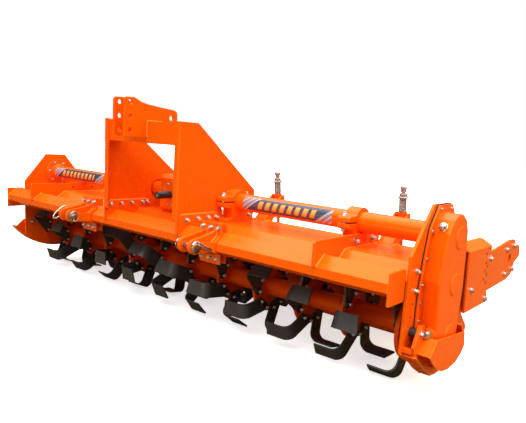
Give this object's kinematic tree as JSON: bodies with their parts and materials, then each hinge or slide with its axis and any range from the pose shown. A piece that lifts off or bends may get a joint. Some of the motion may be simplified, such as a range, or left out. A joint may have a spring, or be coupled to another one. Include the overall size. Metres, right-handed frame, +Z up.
{
  "type": "rotary tiller",
  "caption": "Tractor-mounted rotary tiller with headstock, side gear case, bladed rotor, sprung trailing board and rear roller arms.",
  "frame": {"origin": "front end of the input shaft, on the machine's centre line", "axes": "+X to the gear case end, +Y to the rear, +Z up"},
  "size_m": [3.066, 1.547, 1.1353],
  "materials": {
    "orange_paint": "gloss",
    "cast_paint": "gloss over cast skin",
    "rotor_paint": "satin",
    "blade_black": "satin",
    "zinc": "zinc plated",
    "black_plastic": "satin"
  },
  "bodies": {
    "frame": {"arm_bracket_left": "orange_paint", "arm_bracket_right": "orange_paint", "bearing_housing": "cast_paint", "board_hinges": "orange_paint", "case_guard": "orange_paint", "cross_member": "orange_paint", "deck": "orange_paint", "end_plate_left": "orange_paint", "end_plate_right": "orange_paint", "front_beam": "orange_paint", "gear_case": "cast_paint", "gearbox": "cast_paint", "guard_buffer": "black_plastic", "hinge_pins": "zinc", "hitch_bracket_left": "orange_paint", "hitch_bracket_right": "orange_paint", "hitch_pin_left": "zinc", "hitch_pin_right": "zinc", "rear_arm_left": "orange_paint", "rear_arm_right": "orange_paint", "rib_left": "orange_paint", "rib_right": "orange_paint", "rod_posts": "orange_paint", "roller_bearing_left": "cast_paint", "roller_bearing_right": "cast_paint", "side_plate_left": "orange_paint", "side_plate_right": "orange_paint", "skid_left": "orange_paint", "skid_right": "orange_paint", "toplink_ears": "orange_paint", "tower_base_left": "orange_paint", "tower_base_right": "orange_paint", "tower_plate_left": "orange_paint", "tower_plate_right": "orange_paint", "tube_clamp_rib_right": "cast_paint", "tube_clamp_tower_left": "cast_paint", "tube_clamp_tower_right": "cast_paint", "tube_left": "orange_paint", "tube_right": "orange_paint"},
    "rotor": {"rotor_shaft": "rotor_paint", "blades_left": "blade_black", "blades_right": "blade_black"},
    "input": {"input_shaft": "zinc", "shaft_sleeve": "black_plastic"},
    "board": {"trailing_board": "orange_paint"},
    "rods": {"spring_rods": "zinc", "lower_springs": "zinc"},
    "guides": {"upper_springs": "zinc", "rod_guides": "orange_paint"}
  },
  "joints": [
    {"name": "rotor_spin", "type": "hinge", "parent": "frame", "child": "rotor", "pos_m": [0, 0.264, -0.404], "axis": [1, 0, 0], "continuous": true},
    {"name": "input_spin", "type": "hinge", "parent": "frame", "child": "input", "pos_m": [0, 0, 0], "axis": [0, 1, 0], "continuous": true},
    {"name": "board_hinge", "type": "hinge", "parent": "frame", "child": "board", "pos_m": [0, 0.449, -0.128], "axis": [1, 0, 0], "range_deg": [0, 25], "deforming": ["lower_springs"]},
    {"name": "rod_eye", "type": "hinge", "parent": "board", "child": "rods", "pos_m": [0, 0.57054, -0.24], "axis": [1, 0, 0], "range_deg": [-15, 15]},
    {"name": "guide_tilt", "type": "hinge", "parent": "frame", "child": "guides", "pos_m": [0, 0.534, 0.02], "axis": [1, 0, 0], "range_deg": [-20, 20]}
  ],
  "couplings": [
    {"joint": "rod_eye", "follows": "board_hinge", "ratio": -0.517},
    {"joint": "guide_tilt", "follows": "board_hinge", "ratio": 0.483},
    {"joint": "input_spin", "follows": "rotor_spin", "ratio": 2.6}
  ]
}
